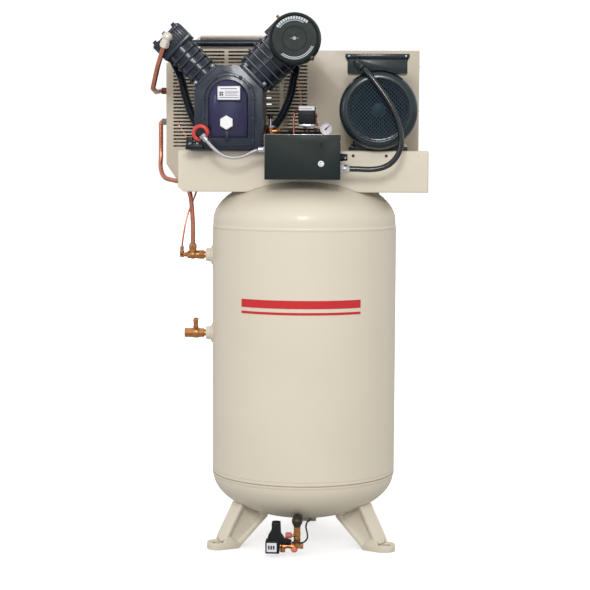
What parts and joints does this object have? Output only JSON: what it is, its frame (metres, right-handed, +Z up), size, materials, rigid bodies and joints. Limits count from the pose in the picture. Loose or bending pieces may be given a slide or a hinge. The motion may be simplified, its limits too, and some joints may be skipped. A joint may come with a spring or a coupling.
{
  "type": "vertical tank compressor",
  "caption": "Upright air receiver on splayed legs carrying a deck with a V-twin piston pump, electric motor, belt guard, starter box and copper pipework.",
  "frame": {"origin": "centre of the machine's bounding box on the floor plane, under the feet", "axes": "+Z up, +X to the motor's side (right as seen from the front), +Y to the belt guard at the back; the control box faces -Y"},
  "size_m": [0.9116, 0.6549, 1.7361],
  "materials": {
    "beige_paint": "satin powder coat",
    "pump_paint": "gloss enamel over rough castings",
    "black_paint": "semi-gloss",
    "black_plastic": "matte",
    "bearing_steel": "ground",
    "bare_iron": "turned",
    "piston_alloy": "turned",
    "rubber": "matte",
    "steel_braid": "braided",
    "copper": "drawn copper",
    "brass": "turned",
    "gauge_steel": "polished",
    "red_plastic": "gloss",
    "white_plastic": "gloss"
  },
  "bodies": {
    "machine": {"tank_shell": "beige_paint", "tank_top_head": "beige_paint", "tank_bottom_head": "beige_paint", "leg_left": "beige_paint", "leg_right": "beige_paint", "leg_rear": "beige_paint", "upper_port_boss": "beige_paint", "lower_port_boss": "beige_paint", "top_plate": "beige_paint", "belt_guard_front": "beige_paint", "belt_guard_back": "beige_paint", "crankcase": "pump_paint", "crankcase_cover": "pump_paint", "second_cylinder": "pump_paint", "first_cylinder": "pump_paint", "second_head": "pump_paint", "first_head": "pump_paint", "intercooler_upper": "pump_paint", "intercooler_lower": "pump_paint", "air_filter": "black_paint", "motor_frame": "black_paint", "motor_fan_cover": "black_paint", "junction_box": "black_paint", "junction_box_lid": "black_paint", "control_box": "black_paint", "control_box_cover": "black_paint", "pressure_switch": "black_plastic", "drain_timer": "black_plastic", "main_bearing_front": "bearing_steel", "main_bearing_rear": "bearing_steel", "drive_belt": "rubber", "motor_conduit": "rubber", "drain_cable": "rubber", "switch_conduit": "steel_braid", "discharge_tube": "copper", "aftercooler_tube": "copper", "delivery_tube": "copper", "unloader_tube": "copper", "check_valve": "brass", "outlet_valve_body": "brass", "drain_valve": "brass", "manifold": "brass", "safety_valve": "brass", "gauge_body": "gauge_steel", "oil_level_switch": "red_plastic", "oil_fill_plug": "white_plastic"},
    "crank_train": {"crankshaft": "bearing_steel", "flywheel": "pump_paint"},
    "motor_train": {"motor_rotor": "bearing_steel", "motor_fan": "black_plastic", "motor_pulley": "bare_iron"},
    "second_piston_set": {"second_piston": "piston_alloy", "second_rod": "bearing_steel"},
    "first_piston_set": {"first_piston": "piston_alloy", "first_rod": "bearing_steel"},
    "valve_handle": {"outlet_valve_handle": "brass"},
    "drain_knob": {"drain_cock": "red_plastic"},
    "switch_arm": {"pressure_switch_lever": "red_plastic"},
    "gauge_pointer": {"gauge_needle": "black_plastic"},
    "reset_push": {"reset_button": "white_plastic"}
  },
  "joints": [
    {"name": "crank_spin", "type": "hinge", "parent": "machine", "child": "crank_train", "pos_m": [-0.183, -0.0236, 1.464], "axis": [0, 1, 0], "continuous": true},
    {"name": "motor_spin", "type": "hinge", "parent": "machine", "child": "motor_train", "pos_m": [0.294, -0.0236, 1.4337], "axis": [0, 1, 0], "continuous": true},
    {"name": "second_piston_slide", "type": "slide", "parent": "machine", "child": "second_piston_set", "axis": [-0.7071, 0, 0.7071], "range_m": [-0.0531, 0.0109]},
    {"name": "first_piston_slide", "type": "slide", "parent": "machine", "child": "first_piston_set", "axis": [0.7071, 0, 0.7071], "range_m": [-0.0531, 0.0109]},
    {"name": "outlet_valve_turn", "type": "hinge", "parent": "machine", "child": "valve_handle", "pos_m": [-0.3104, -0.0236, 0.695], "axis": [0, 0, 1], "range_deg": [0, 90]},
    {"name": "drain_cock_turn", "type": "hinge", "parent": "machine", "child": "drain_knob", "pos_m": [0.0267, -0.2856, 0.0705], "axis": [1, 0, 0], "range_deg": [0, 90]},
    {"name": "switch_lever_turn", "type": "hinge", "parent": "machine", "child": "switch_arm", "pos_m": [0.0903, -0.1286, 1.418], "axis": [1, 0, 0], "range_deg": [-60, 0]},
    {"name": "gauge_needle_turn", "type": "hinge", "parent": "machine", "child": "gauge_pointer", "pos_m": [0.126, -0.1511, 1.375], "axis": [0, 1, 0], "range_deg": [-183, 87]},
    {"name": "reset_button_press", "type": "slide", "parent": "machine", "child": "reset_push", "axis": [0, 1, 0], "range_m": [0, 0.004], "stiffness_N_per_m": 400}
  ],
  "couplings": [
    {"joint": "motor_spin", "follows": "crank_spin", "ratio": 2.6711}
  ]
}
